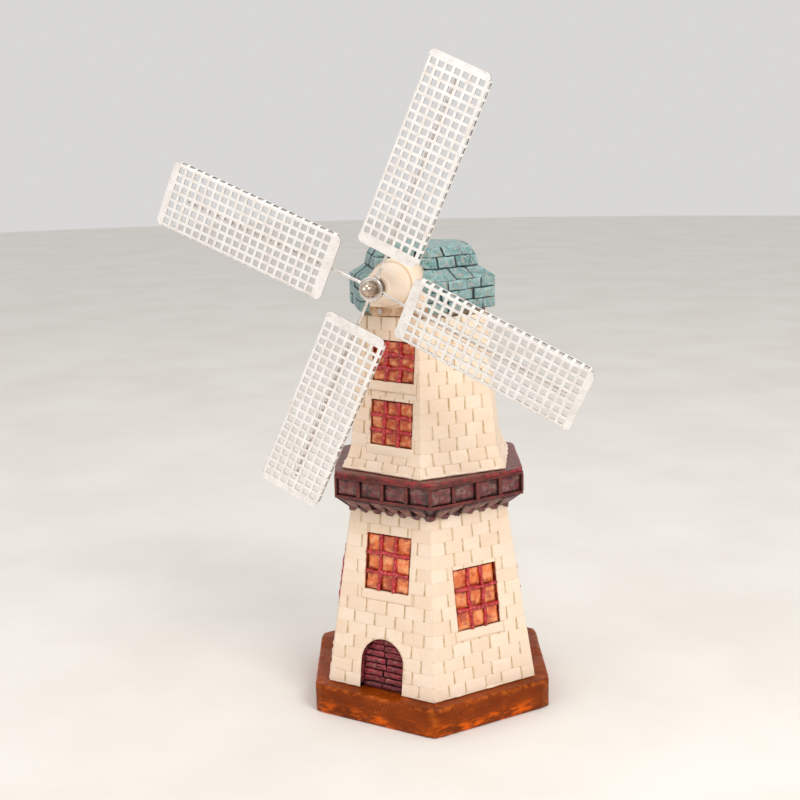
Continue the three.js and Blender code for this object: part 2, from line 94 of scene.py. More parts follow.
# Rotor
JOINT = frame["joints"][0]
AXIS = Vector(JOINT["axis"])
SPOKE_PLANE = 54.6
CAP_CENTRE = Vector(JOINT["pos_m"]) / MM - AXIS * SPOKE_PLANE  # at the height of the rotor's axis
CAP_TURN = atan2(AXIS.x, -AXIS.y)
ROTOR_START = radians(24.5)
ARMS = {
    "top": dict(lean=-0.4, twist=-7, reach=-1.2),
    "right": dict(lean=1.5, twist=11, reach=-1),
    "bottom": dict(lean=0.5, twist=1.5, reach=0),
    "left": dict(lean=-1.6, twist=0.5, reach=2.6),
}
SPOKE = dict(radius=0.6, start=3, end=84)
TRIM = 0.12  # keeps the wavy sheets inside the CAD's
SAIL = dict(inner=15.5, outer=91.6 - TRIM, half_width=13.3 - TRIM, corner=2.4)
SHEET_METAL = dict(thickness=0.5, middle=1.3, fold_depth=2.2, fold_radius=1, rim=0.5)
WAVES = dict(height=0.2, length=22)  # of a sail's sheet
HOLE = dict(size=2.3, pitch=3.5, columns=7, rows=20, root_band=4.2)

# ---- Looks ----

# Blocks: their length, the joints between them, how deep the joints are, how soft the edges are, how
# far the face swells, and how strong the edge and the wash are along the level joints
BRICK = dict(length=9.2, upright=0.45, level=-0.12, depth=0.4, chamfer=0.32, crown=0.04)
BRICK.update(level_edge=0.5, level_wash=0.05)
UPPER_BRICK = dict(BRICK, length=7.9)
TILE = dict(length=9.2, upright=0.5, level=0.22, depth=0.75, chamfer=0.55, crown=0.15)
TILE.update(level_edge=1, level_wash=1)
SILL_BLOCK = dict(BRICK, depth=0.9, chamfer=0.5, level_edge=1, level_wash=0.3)
PANE_BLOCK = dict(TILE, depth=0.9, chamfer=0.8, crown=0.45)
PLANK = dict(TILE, depth=0.6, chamfer=0.5, crown=0.3)
PLANKS = dict(rows=8, gap=0.22, wander=1.2)  # wander: how far the joint between two planks strays
PANELS = dict(columns=4, rail=1.3, stile=0.85)
CORBELS = 6  # on each side of the gallery
RUBBED_CORNER = dict(share=1 / 14, depth=0.6)  # the rubbed share of a side, at each of its ends
RAIL = dict(TILE, depth=1.2, chamfer=0.4, crown=0.05)
SUNK_PANEL = dict(TILE, depth=0.7, chamfer=0.7)
CORBEL = dict(TILE, depth=1, chamfer=0.5)
PLATE_BLOCK = dict(BRICK, depth=0.8, chamfer=0.5, level_edge=1)
LOWER_COURSES = (14,)
UPPER_COURSES = (1, 1, 10)
CAP_COURSES = (3, 1, 1, 1)
# Ranges of the panes' tone: lighter low down as painted light, darker in the upper windows as painted shade
# under the cap
LIT_LOWER_PANE_TONES = (0.4, 1)
SHADED_UPPER_PANE_TONES = (0, 0.5)
BOSS_SAG = radians(2)  # how far the boss's cone leans off the rotor's axis
SEEDS = dict(lower_tower=11, upper_tower=23, gallery=31, cap=47, sails=(3, 10, 17, 24))

CAMERA = dict(azimuth=28.73, distance=540.1, height=242.4, yaw=1.19, pitch=11.89, roll=-1.21, lens=58.1)
LIGHT_TARGET = Vector((0, 0, 0.13))  # the middle of the windmill, in metres
LIGHTS = {
    "key": dict(azimuth=62, elevation=40, distance=1.0, size=0.4, watts=4.8, colour=(1, 0.96, 0.91)),
    "fill": dict(azimuth=-30, elevation=30, distance=1.1, size=0.7, watts=1.8, colour=(1, 0.98, 0.95)),
    "top": dict(azimuth=10, elevation=85, distance=1.1, size=0.5, watts=2.0, colour=(1, 0.98, 0.95)),
}
SKY = dict(colour=(0.96, 0.95, 0.94, 1), strength=0.72)
FLOOR = dict(radius=3000, corners=48)


# ---- Materials ----

SHADER_INPUTS = {"metallic": "Metallic", "specular": "Specular IOR Level", "coat": "Coat Weight"}


def srgb(red, green, blue):
    """An 8-bit screen colour as a linear RGBA."""

    def linear(value):
        share = value / 255
        return share / 12.92 if share <= 0.04045 else ((share + 0.055) / 1.055) ** 2.4

    return (linear(red), linear(green), linear(blue), 1)


class Paint:
    """A Principled material painted in layers, with short calls for the nodes that feed it."""

    def __init__(self, name, **settings):
        self.material = bpy.data.materials.new(name)
        self.material.use_nodes = True
        self.tree = self.material.node_tree
        self.shader = self.tree.nodes["Principled BSDF"]
        for key, value in settings.items():
            self.shader.inputs[SHADER_INPUTS[key]].default_value = value
        self.place = self.node("ShaderNodeTexCoord").outputs["Object"]
        self.colour = None

    def node(self, kind, **settings):
        made = self.tree.nodes.new(kind)
        for key, value in settings.items():
            setattr(made, key, value)
        return made

    def feed(self, target, value):
        if isinstance(value, bpy.types.NodeSocket):
            self.tree.links.new(value, target)
        else:
            target.default_value = value

    def noise(self, size, detail=4, roughness=0.55, stretch=(1, 1, 1)):
        """Noise whose features are about size millimetres across."""
        scale = self.node("ShaderNodeVectorMath", operation="MULTIPLY")
        self.feed(scale.inputs[0], self.place)
        scale.inputs[1].default_value = stretch
        made = self.node("ShaderNodeTexNoise")
        made.inputs["Scale"].default_value = 1 / (size * MM)
        made.inputs["Detail"].default_value = detail
        made.inputs["Roughness"].default_value = roughness
        self.feed(made.inputs["Vector"], scale.outputs[0])
        return made.outputs["Fac"]

    def patches(self, size, low, high, **settings):
        """Noise with a clear edge: 0 below low, 1 above high."""
        return self.ramp(self.noise(size, **settings), low, high)

    def layer(self, name):
        """One of the per-point values in LAYERS."""
        return self.node("ShaderNodeAttribute", attribute_name=name).outputs["Fac"]

    def height(self, low, high):
        """A ramp up the windmill, between two heights in millimetres."""
        split = self.node("ShaderNodeSeparateXYZ")
        self.feed(split.inputs[0], self.place)
        return self.ramp(split.outputs["Z"], low * MM, high * MM)

    def ramp(self, value, low, high):
        made = self.node("ShaderNodeMapRange", interpolation_type="SMOOTHSTEP")
        self.feed(made.inputs["Value"], value)
        made.inputs["From Min"].default_value = low
        made.inputs["From Max"].default_value = high
        return made.outputs["Result"]

    def times(self, first, second):
        made = self.node("ShaderNodeMath", operation="MULTIPLY")
        self.feed(made.inputs[0], first)
        self.feed(made.inputs[1], second)
        return made.outputs[0]

    def mix(self, share, first, second):
        made = self.node("ShaderNodeMix", data_type="RGBA")
        self.feed(made.inputs[0], share)
        self.feed(made.inputs[6], first)
        self.feed(made.inputs[7], second)
        self.colour = made.outputs[2]

    def base(self, share, first, second):
        """The first coat, from one colour to another as share goes from 0 to 1."""
        self.mix(share, srgb(*first), srgb(*second))

    def over(self, share, strength, *colour):
        """A colour over what is there, where share is 1, at most at the given strength."""
        self.mix(self.times(share, strength), self.colour, srgb(*colour))

    def finish(self, gloss, low, high, *relief):
        """Sets the roughness from low to high with gloss, and adds (height, depth) bumps."""
        self.feed(self.shader.inputs["Base Color"], self.colour)
        made = self.node("ShaderNodeMapRange")
        self.feed(made.inputs["Value"], gloss)
        made.inputs["To Min"].default_value = low
        made.inputs["To Max"].default_value = high
        self.feed(self.shader.inputs["Roughness"], made.outputs["Result"])
        normal = None
        for height, depth in relief:
            bump = self.node("ShaderNodeBump")
            bump.inputs["Distance"].default_value = depth * MM
            self.feed(bump.inputs["Height"], height)
            if normal:
                self.feed(bump.inputs["Normal"], normal)
            normal = bump.outputs["Normal"]
        self.feed(self.shader.inputs["Normal"], normal)
        return self.material


def cream_paint():
    """Matt cream brick paint: a little tone from brick to brick, and a tan wash in the joints."""
    paint = Paint("cream_paint", specular=0.3)
    paint.base(paint.layer("tone"), (238, 214, 190), (246, 226, 205))
    mottle = paint.patches(9, 0.4, 0.75)
    paint.over(mottle, 0.3, 234, 200, 166)
    paint.over(paint.layer("wash"), 0.5, 196, 164, 126)
    paint.over(paint.patches(0.9, 0.62, 0.75, detail=6), 0.2, 206, 184, 156)
    grit = paint.noise(0.5, detail=6)
    return paint.finish(mottle, 0.5, 0.68, (paint.noise(3.2), 0.25), (grit, 0.05))


def teal_paint():
    """Stone-like teal tiles: dark joints, and aqua, green and dusty pink brushed over the faces."""
    paint = Paint("teal_paint", specular=0.35)
    paint.base(paint.layer("tone"), (88, 136, 140), (136, 172, 174))
    worn = paint.patches(3.6, 0.42, 0.64, detail=6, roughness=0.7)
    paint.over(worn, 0.65, 152, 192, 196)
    paint.over(paint.patches(1.5, 0.5, 0.6, detail=6, roughness=0.75), 0.65, 78, 132, 112)
    paint.over(paint.patches(1.3, 0.5, 0.6, detail=8, roughness=0.8), 0.75, 204, 168, 158)
    paint.over(paint.patches(1.1, 0.58, 0.66, detail=6), 0.6, 208, 206, 176)
    paint.over(paint.times(paint.layer("edge"), worn), 0.55, 176, 214, 216)
    paint.over(paint.ramp(paint.layer("wash"), 0.15, 0.95), 0.86, 42, 52, 52)
    rough = paint.noise(1.6, detail=6, roughness=0.7)
    return paint.finish(worn, 0.45, 0.75, (rough, 0.5), (paint.noise(0.4), 0.1))


def maroon_paint():
    """Maroon over near-black, with crimson brushed along the raised edges."""
    paint = Paint("maroon_paint", coat=0.15, specular=0.4)
    patches = paint.patches(4, 0.35, 0.65)
    paint.base(patches, (78, 26, 22), (114, 48, 40))
    streaks = paint.patches(2.2, 0.46, 0.6, detail=6, roughness=0.7)
    paint.over(paint.times(paint.ramp(paint.layer("edge"), 0.45, 1), streaks), 0.85, 168, 36, 46)
    paint.over(paint.ramp(paint.layer("wash"), 0.15, 0.8), 0.85, 32, 14, 18)
    return paint.finish(patches, 0.28, 0.5, (paint.noise(1.8), 0.25), (paint.noise(0.35), 0.04))


def panel_paint():
    """The gallery's sunk panels: near-black edges, with scuffs of grey and crimson."""
    paint = Paint("panel_paint", coat=0.35)
    patches = paint.patches(3.4, 0.42, 0.6, detail=5, roughness=0.65)
    paint.base(patches, (58, 24, 26), (136, 98, 88))
    paint.over(paint.patches(2.8, 0.42, 0.58, detail=6, stretch=(1, 1, 2)), 0.75, 122, 30, 40)
    paint.over(paint.ramp(paint.layer("wash"), 0, 0.6), 0.85, 36, 14, 20)
    return paint.finish(patches, 0.35, 0.6, (paint.noise(2, detail=6, roughness=0.7), 0.6))


def rust_paint():
    """The plinth's brown, rubbed through to bright orange along its foot and its edges."""
    paint = Paint("rust_paint", specular=0.12)
    paint.base(paint.patches(22, 0.35, 0.65, stretch=(1, 1, 2.2)), (112, 44, 2), (136, 56, 4))
    worn = paint.patches(11, 0.46, 0.6, detail=6, roughness=0.6, stretch=(1, 1, 3))
    paint.over(paint.times(paint.height(7.5, 2), worn), 0.95, 232, 100, 4)
    paint.over(paint.patches(8, 0.58, 0.7, detail=5), 0.4, 186, 80, 10)
    paint.over(paint.times(paint.layer("edge"), paint.patches(3, 0.42, 0.6)), 0.5, 206, 104, 30)
    clusters = paint.times(paint.patches(14, 0.52, 0.62), paint.patches(0.8, 0.62, 0.7))
    paint.over(clusters, 0.6, 216, 150, 90)
    grit = paint.noise(0.9, detail=5)
    return paint.finish(worn, 0.3, 0.5, (paint.noise(5), 0.35), (grit, 0.06))


def pane_paint():
    """Orange window panes, each a little lighter or darker, with painted shade in dark red toward the bars.
    """
    paint = Paint("pane_paint", specular=0.45, coat=0.3)
    # The tone is random from pane to pane, and held low in the upper windows as painted shade
    paint.base(paint.layer("tone"), (182, 72, 34), (238, 124, 62))
    patches = paint.patches(3, 0.42, 0.6, detail=4)
    paint.over(patches, 0.65, 250, 178, 124)
    paint.over(paint.patches(3.4, 0.5, 0.64, detail=5), 0.75, 166, 48, 30)
    # Dark red where the panes sink toward the bars and into the recess: painted shade
    paint.over(paint.ramp(paint.layer("wash"), 0, 0.7), 0.85, 104, 20, 14)
    return paint.finish(patches, 0.3, 0.55, (paint.noise(1.8), 0.4))


def crimson_paint():
    """Crimson glazing bars, brighter and darker in patches, with pale pink spots as painted highlights."""
    paint = Paint("crimson_paint", coat=0.4)
    patches = paint.patches(1.8, 0.36, 0.66, detail=6, roughness=0.7)
    paint.base(patches, (142, 8, 18), (210, 30, 44))
    # Pale pink spots over the bars: painted highlights
    paint.over(paint.patches(0.9, 0.54, 0.64), 0.7, 232, 112, 110)
    return paint.finish(patches, 0.22, 0.45, (paint.noise(1), 0.3))


def door_paint():
    """Dark red planks brushed with crimson and grey."""
    paint = Paint("door_paint", specular=0.4)
    grain = paint.noise(2.6, detail=7, roughness=0.7, stretch=(1, 1, 3))
    patches = paint.ramp(grain, 0.38, 0.64)
    paint.base(patches, (84, 26, 30), (158, 50, 60))
    paint.over(paint.patches(1.4, 0.5, 0.64, detail=6, roughness=0.75), 0.75, 166, 122, 116)
    paint.over(paint.times(paint.layer("edge"), paint.patches(1.8, 0.4, 0.56)), 0.5, 206, 88, 100)
    paint.over(paint.height(18, 13), 0.6, 52, 16, 26)
    paint.over(paint.ramp(paint.layer("wash"), 0.15, 0.9), 0.9, 38, 18, 24)
    return paint.finish(patches, 0.45, 0.65, (grain, 0.5))


def boss_paint():
    """Smooth cream paint, warmer in patches, with ochre along the crease and in the stud's hollow as
    painted shade.
    """
    paint = Paint("boss_paint", specular=0.4, coat=0.1)
    streaks = paint.patches(9, 0.4, 0.8)
    paint.base(streaks, (250, 232, 212), (246, 216, 188))
    # Ochre where the wash layer is high, in the crease and the stud's hollow: painted shade
    paint.over(paint.layer("wash"), 0.7, 204, 156, 98)
    return paint.finish(streaks, 0.4, 0.58, (paint.noise(2.5), 0.08))


def sheet_paint():
    """Thin white paint on perforated steel, scuffed to grey here and there."""
    paint = Paint("sheet_paint", specular=0.6, metallic=0.15)
    patches = paint.patches(4, 0.36, 0.66, detail=7, roughness=0.65)
    paint.base(patches, (246, 243, 240), (230, 223, 218))
    paint.over(paint.patches(1.8, 0.56, 0.7, detail=7, roughness=0.75), 0.5, 166, 156, 150)
    return paint.finish(patches, 0.25, 0.5, (paint.noise(2.4), 0.1), (paint.noise(0.5), 0.03))


def two_tone(name, patches, colours, polish, relief, **settings):
    """A plain finish whose colour and roughness vary together, in patches of a (size, low, high, detail),
    with (size, depth) relief."""
    size, low, high, detail = patches
    paint = Paint(name, **settings)
    share = paint.patches(size, low, high, detail=detail)
    paint.base(share, *colours)
    return paint.finish(share, *polish, (paint.noise(relief[0]), relief[1]))


def metal(name, light, dark, size, low, high):
    """Bright metal whose colour and polish vary a little over the surface."""
    patches = (size, 0.35, 0.68, 4)
    return two_tone(name, patches, (light, dark), (low, high), (size / 4, 0.01), metallic=1)


def felt_cloth():
    """Dark green felt."""
    paint = Paint("felt_cloth", specular=0.1)
    fibres = paint.noise(0.5, detail=8, roughness=0.8)
    paint.base(paint.ramp(fibres, 0.3, 0.7), (32, 44, 36), (58, 74, 62))
    return paint.finish(fibres, 0.9, 1, (fibres, 0.3))


def floor_paint():
    """The studio's pale floor."""
    paint = Paint("floor_paint", specular=0.25)
    cloud = paint.patches(90, 0.3, 0.7)
    paint.base(cloud, (232, 228, 222), (238, 235, 230))
    return paint.finish(cloud, 0.6, 0.7, (cloud, 0.05))


CREAM = cream_paint()
# The ochre run into the upright joints
OCHRE_TONES = ((188, 156, 110), (222, 202, 172))
OCHRE = two_tone("ochre_paint", (3, 0.35, 0.65, 4), OCHRE_TONES, (0.5, 0.7), (0.6, 0.05), specular=0.3)
TEAL = teal_paint()
MAROON = maroon_paint()
PANEL = panel_paint()
RUST = rust_paint()
PANE = pane_paint()
CRIMSON = crimson_paint()
DOOR_PAINT = door_paint()
# Red and orange run over the sides of the windows, then the grey resin left bare under the cap
REVEAL_TONES = ((120, 36, 26), (206, 90, 52))
REVEAL = two_tone("reveal_paint", (2, 0.4, 0.6, 4), REVEAL_TONES, (0.4, 0.6), (1, 0.1), specular=0.4)
GREY_TONES = ((216, 180, 146), (250, 224, 190))
GREY = two_tone("bare_resin", (3, 0.4, 0.62, 4), GREY_TONES, (0.4, 0.65), (1.2, 0.1), specular=0.4)
BOSS_PAINT = boss_paint()
SHEET = sheet_paint()
# The cut edges of the sheet in darker grey: painted shade that outlines each hole
EDGE_SHADE_TONES = ((132, 122, 116), (196, 188, 182))
SHEET_EDGE_SHADE = two_tone("sheet_edge_shade", (2, 0.4, 0.6, 6), EDGE_SHADE_TONES, (0.3, 0.5), (0.6, 0.02), metallic=0.4)
NICKEL = metal("nickel_plate", (244, 238, 232), (206, 196, 188), 5, 0.08, 0.2)
# The nut's nickel turns brown in patches: a painted reflection of brown surroundings
NUT_NICKEL_BROWN_REFLECTION = metal("polished_nickel_brown_reflection", (236, 218, 202), (160, 132, 110), 4, 0.03, 0.1)
# The hub drum's dark metal is painted shade, for the dark gap between the washers
DRUM_STEEL_SHADE = metal("drum_steel_shade", (132, 116, 102), (78, 66, 58), 2, 0.2, 0.35)
WIRE = metal("bright_wire", (246, 240, 234), (212, 202, 194), 2, 0.2, 0.4)
BRASS = metal("turned_brass", (214, 172, 96), (176, 132, 66), 2, 0.2, 0.35)
FELT = felt_cloth()
TOWER_PAINTS = [CREAM, OCHRE, REVEAL, DOOR_PAINT]


# ---- Meshes ----

LAYERS = ("wash", "tone", "edge")  # per-point values that the materials read


class Shape:
    """Points in millimetres, and faces, gathered for one piece."""

    def __init__(self):
        self.points = []
        self.values = []
        self.faces = []
        self.slots = []
        self.smooth = []

    def point(self, place, wash=0.0, tone=0.5, edge=0.0):
        self.points.append(Vector(place))
        self.values.append((wash, tone, edge))
        return len(self.points) - 1

    def face(self, corners, slot=0, smooth=True):
        self.faces.append(tuple(corners))
        self.slots.append(slot)
        self.smooth.append(smooth)

    def loft(self, rings, slot=0, smooth=True):
        """A closed body through rings of points that run anticlockwise, from its back to its front."""
        for low, high in zip(rings, rings[1:]):
            self.band(low, high, slot, smooth)
        self.fan(list(reversed(rings[0])), slot, smooth)
        self.fan(rings[-1], slot, smooth)

    def fan(self, ring, slot, smooth):
        """Fills a convex ring with triangles round its middle."""
        middle = sum((self.points[i] for i in ring), Vector()) / len(ring)
        centre = self.point(middle, *self.values[ring[0]])
        for i, corner in enumerate(ring):
            self.face((corner, ring[(i + 1) % len(ring)], centre), slot, smooth)

    def band(self, low, high, slot=0, smooth=True):
        for i in range(len(low)):
            after = (i + 1) % len(low)
            self.face((low[i], low[after], high[after], high[i]), slot, smooth)

    def move(self, matrix):
        self.points = [matrix @ place for place in self.points]

    def mesh_object(self, name, materials, scale=1.0):
        mesh = bpy.data.meshes.new(name)
        mesh.from_pydata([p * scale for p in self.points], [], self.faces)
        for column, layer_name in enumerate(LAYERS):
            layer = mesh.attributes.new(layer_name, "FLOAT", "POINT")
            layer.data.foreach_set("value", [row[column] for row in self.values])
        for material in materials:
            mesh.materials.append(material)
        mesh.polygons.foreach_set("material_index", self.slots)
        mesh.polygons.foreach_set("use_smooth", self.smooth)
        mesh.update()
        made = bpy.data.objects.new(name, mesh)
        bpy.context.collection.objects.link(made)
        return made

    def take_in(self, made):
        """Adds an object's mesh and throws the object away."""
        start = len(self.points)
        layers = [made.data.attributes[name].data for name in LAYERS]
        for vertex in made.data.vertices:
            self.point(vertex.co, *(layer[vertex.index].value for layer in layers))
        for polygon in made.data.polygons:
            self.face([start + i for i in polygon.vertices], polygon.material_index, polygon.use_smooth)
        bpy.data.objects.remove(made)

    def build(self, name, materials, body, slot, *nodes):
        """The finished piece in metres, riding on its body in place of its CAD nodes."""
        made = self.mesh_object(name, materials, MM)
        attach(made, body)
        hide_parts(*nodes)
        return made


def apply_modifier(made, kind, **settings):
    modifier = made.modifiers.new(kind, kind)
    for key, value in settings.items():
        setattr(modifier, key, value)
    graph = bpy.context.evaluated_depsgraph_get()
    mesh = bpy.data.meshes.new_from_object(made.evaluated_get(graph), depsgraph=graph)
    made.modifiers.clear()
    made.data = mesh


def combine(made, tool, operation="DIFFERENCE"):
    """Cuts a closed tool out of an object, or keeps what lies inside it."""
    apply_modifier(made, "BOOLEAN", operation=operation, solver="EXACT", use_self=True, object=tool)
    bpy.data.objects.remove(tool)


def prism(outline, matrix, low, high, slot=0):
    """A closed prism of a flat outline between two heights of a frame."""
    shape = Shape()
    rings = [[shape.point(matrix @ Vector((x, y, z)), wash=1) for x, y in outline] for z in (low, high)]
    shape.loft(rings, slot, smooth=False)
    return shape.mesh_object("prism", [])


def rectangle(x0, x1, y0, y1):
    return [(x0, y0), (x1, y0), (x1, y1), (x0, y1)]


def arch(half, foot, head, steps=20):
    """An upright outline with a round head."""
    turns = [pi * i / steps for i in range(steps + 1)]
    curve = [(half * cos(turn), head - half + half * sin(turn)) for turn in turns]
    return [(-half, foot), (half, foot)] + curve


def toward(heading):
    """The level direction at an angle from the front, turning to the right."""
    return Vector((sin(heading), -cos(heading), 0))


def wobble(place, size, seed=0.0):
    """Smooth random value between -1 and 1 at a place, with features of about a size."""
    return noise.noise(place / size + Vector((seed, 1.7 * seed, -seed)))


# ---- Walls and blocks ----


class Wall:
    """One flat side of a six-sided casting between two levels: x along it, y up it, z outward."""

    def __init__(self, index, low, high, turn=0.0):
        heading = index * FACE_STEP + turn
        outward = toward(heading)
        along = Vector((cos(heading), sin(heading), 0))
        foot = outward * low[0] * APOTHEM + UP * low[1]
        head = outward * high[0] * APOTHEM + UP * high[1]
        self.up = (head - foot).normalized()
        self.matrix = Matrix((along, self.up, along.cross(self.up))).transposed().to_4x4()
        self.matrix.translation = foot
        self.foot = low[1]
        self.height = (head - foot).length
        self.low_half = low[0] / 2
        self.high_half = high[0] / 2

    def at(self, x, y, z):
        return self.matrix @ Vector((x, y, z))

    def half(self, y):
        """Half the wall's width at a height up it."""
        return self.low_half + (self.high_half - self.low_half) * y / self.height

    def opening(self, middle, rise, offset):
        """The rectangle (x0, x1, y0, y1) of a window."""
        y = (middle - self.foot) / self.up.z
        half = WINDOW["width"] / 2
        return (offset - half, offset + half, y - rise / 2, y + rise / 2)


def walls(low, high, turn=0.0):
    return [Wall(index, low, high, turn) for index in range(SIDES)]


def outside_holes(part, holes, least=1.0):
    """The parts of a rectangle (x0, x1, y0, y1) that some rectangular holes leave."""
    parts = [part]
    for hx0, hx1, hy0, hy1 in holes:
        left = []
        for x0, x1, y0, y1 in parts:
            if x1 <= hx0 or x0 >= hx1 or y1 <= hy0 or y0 >= hy1:
                left.append((x0, x1, y0, y1))
                continue
            inner = (max(x0, hx0), min(x1, hx1))
            left += [(x0, hx0, y0, y1), (hx1, x1, y0, y1), (*inner, hy1, y1), (*inner, y0, hy0)]
        parts = [p for p in left if p[1] - p[0] > least and p[3] - p[2] > least]
    return parts


def block_outline(mitred, steps, jitter, draw):
    """(side, share of the side, shift, on a mitre) round a block, anticlockwise from its lower left."""
    outline = []
    for side in range(4):
        on_mitre = mitred[1] if side == 1 else mitred[0] if side == 3 else False
        starts_on_mitre = mitred[1] if side in (1, 2) else mitred[0]
        for step in range(steps):
            fixed = on_mitre or (step == 0 and starts_on_mitre)
            shift = Vector((draw.uniform(-jitter, jitter), draw.uniform(-jitter, jitter)))
            outline.append((side, step / steps, shift * (not fixed), fixed))
    return outline


def drawn_in(corners, left, right, level):
    """A block's corners moved in from its left and right ends and from its level edges."""
    moves = ((left, level), (-right, level), (-right, -level), (left, -level))
    return [Vector(corner) + Vector(move) for corner, move in zip(corners, moves)]


def lay_block(
    shape, wall, corners, style, draw, mitred=(False, False), slot=0, lift=0, steps=3, rough=1, tones=(0, 1)
):
    """One chamfered block, sunk into its wall, with slightly uneven edges and face.

    Its ends may be mitred, to meet the next wall's block on the corner of the casting."""
    short = min(corners[1][0] - corners[0][0], corners[3][1] - corners[0][1])
    chamfer, depth, crown = min(style["chamfer"], 0.15 * short), style["depth"], style["crown"]
    tone = draw.uniform(*tones)
    raised = lift + draw.uniform(-0.25, 0.25) * depth * rough
    tilt = Vector((draw.uniform(-0.02, 0.02), draw.uniform(-0.02, 0.02))) * rough
    outline = block_outline(mitred, steps, 0.12 * chamfer * rough, draw)
    middle = sum((Vector(corner) for corner in corners), Vector((0, 0))) / 4
    # (inset, height) of each ring from the back, the same on a mitre, then the ring's wash and edge
    rings = (
        (0, -1.6 * depth, MITRE * 1.6 * depth, -1.6 * depth, 1, 0),
        (0, -0.9 * depth, 0.127 * chamfer, -0.22 * chamfer, 1, 0),
        (0.3 * chamfer, -0.35 * chamfer, 0.4 * chamfer, -0.1 * chamfer, 0.4, 0.7),
        (chamfer, 0, chamfer, 0, 0, 1),
        (1.8 * chamfer, 0.6 * crown, 1.8 * chamfer, 0, 0, 0.3),
        (0.33 * short, crown, 0.33 * short, 0.3 * crown, 0, 0),
    )
    made = []
    for inset, height, mitre_inset, mitre_height, wash, edge in rings:
        left, right = (mitre_inset if on_mitre else inset for on_mitre in mitred)
        quad = drawn_in(corners, left, right, inset * style["level_edge"])
        ring = []
        for side, share, shift, on_mitre in outline:
            flat = quad[side].lerp(quad[(side + 1) % 4], share) + shift
            rise = mitre_height if on_mitre else height + raised + (flat - middle).dot(tilt)
            washed = wash * (style["level_wash"] if side in (0, 2) else 1) * (0.3 if on_mitre else 1)
            ring.append(shape.point(wall.at(flat.x, flat.y, rise), washed, tone, edge))
        made.append(ring)
    shape.loft(made, slot)


def lay_courses(shape, wall, courses, style, draw, holes=(), joints=None, shift=0, rough=1.0):
    """Running-bond blocks over a wall, clear of its holes, with the upright joints' paint in a shape
    of its own."""
    rise = wall.height / courses
    for course in range(courses):
        y0 = course * rise + style["level"] / 2
        y1 = (course + 1) * rise - style["level"] / 2
        ends = min(wall.half(y0), wall.half(y1))
        places = upright_joints(ends, style["length"], (course + shift) % 2 / 2, draw)
        bounds = [None, *places, None]
        for sides in zip(bounds, bounds[1:]):
            lay_between_joints(shape, wall, sides, (y0, y1), style, draw, holes, rough)
        if joints:
            for place in places:
                fill_joint(joints, wall, place, (y0, y1), style, holes, draw)


def upright_joints(ends, length, offset, draw):
    """Places of the joints along a course, none too near its ends."""
    count = ceil(ends / length) + 1
    places = [(i + offset + draw.uniform(-0.09, 0.09)) * length for i in range(-count, count + 1)]
    return [x for x in places if abs(x) < ends - 0.3 * length]


def lay_between_joints(shape, wall, sides, heights, style, draw, holes, rough):
    """The block between two joints of a course, or what the holes leave of it."""
    far = wall.half(0)
    left = -far if sides[0] is None else sides[0] + style["upright"] / 2
    right = far if sides[1] is None else sides[1] - style["upright"] / 2
    for x0, x1, y0, y1 in outside_holes((left, right, *heights), holes):
        at_left, at_right = x0 == -far, x1 == far
        corners = [
            (-wall.half(y0) if at_left else x0, y0),
            (wall.half(y0) if at_right else x1, y0),
            (wall.half(y1) if at_right else x1, y1),
            (-wall.half(y1) if at_left else x0, y1),
        ]
        lay_block(shape, wall, corners, style, draw, (at_left, at_right), rough=rough)


def fill_joint(shape, wall, x, heights, style, holes, draw):
    """A strip of paint that nearly fills an upright joint."""
    half = 0.75 * style["upright"]
    for x0, x1, y0, y1 in outside_holes((x - half, x + half, *heights), holes, least=0.4):
        foot = y0 + draw.uniform(0, 0.2) * (y1 - y0)
        rings = []
        for z in (-1.5 * style["depth"], -0.32 * style["depth"]):
            corners = rectangle(x0, x1, foot, y1)
            rings.append([shape.point(wall.at(px, py, z)) for px, py in corners])
        shape.loft(rings, slot=1, smooth=False)


def hexagon_corner(radius, side, turn=0.0):
    """A corner of a hexagon; side 0 is the corner to the left of the front wall."""
    angle = (side - 0.5) * FACE_STEP + turn
    return toward(angle) * radius


def core(levels, tools, turn=0.0, slot=0, wash=0.8):
    """The closed body behind a casting's blocks, with its openings cut out."""
    shape = Shape()
    rings = []
    for radius, height in levels:
        corners = [hexagon_corner(radius, side, turn) + UP * height for side in range(SIDES)]
        rings.append([shape.point(corner, wash, tone=0.3) for corner in corners])
    shape.loft(rings, slot, smooth=False)
    made = shape.mesh_object("core", TOWER_PAINTS)
    for tool in tools:
        combine(made, tool)
    return made


def inset(levels, depth):
    """An outline drawn in behind its walls by a depth."""
    return [(radius - depth / APOTHEM, height) for radius, height in levels]


def soft_slab(shape, sections, steps, slot=0, turn=0.0, uneven=0.18, ripple=14):
    """A six-sided body through (radius, height, edge) sections, with rubbed corners and wavy sides."""
    rings = []
    for radius, height, edge in sections:
        ring = []
        for side in range(SIDES):
            for step in range(steps):
                share = step / steps
                corners = [hexagon_corner(radius, side + end, turn) for end in (0, 1)]
                place = corners[0].lerp(corners[1], share)
                near_corner = max(0, 1 - min(share, 1 - share) / RUBBED_CORNER["share"])
                place *= 1 - RUBBED_CORNER["depth"] * near_corner / radius
                place += place.normalized() * wobble(place + UP * height, ripple) * uneven
                place.z = height
                ring.append(shape.point(place, tone=0.7, edge=max(edge, 0.8 * near_corner)))
        rings.append(ring)
    shape.loft(rings, slot)


# ---- Tower ----


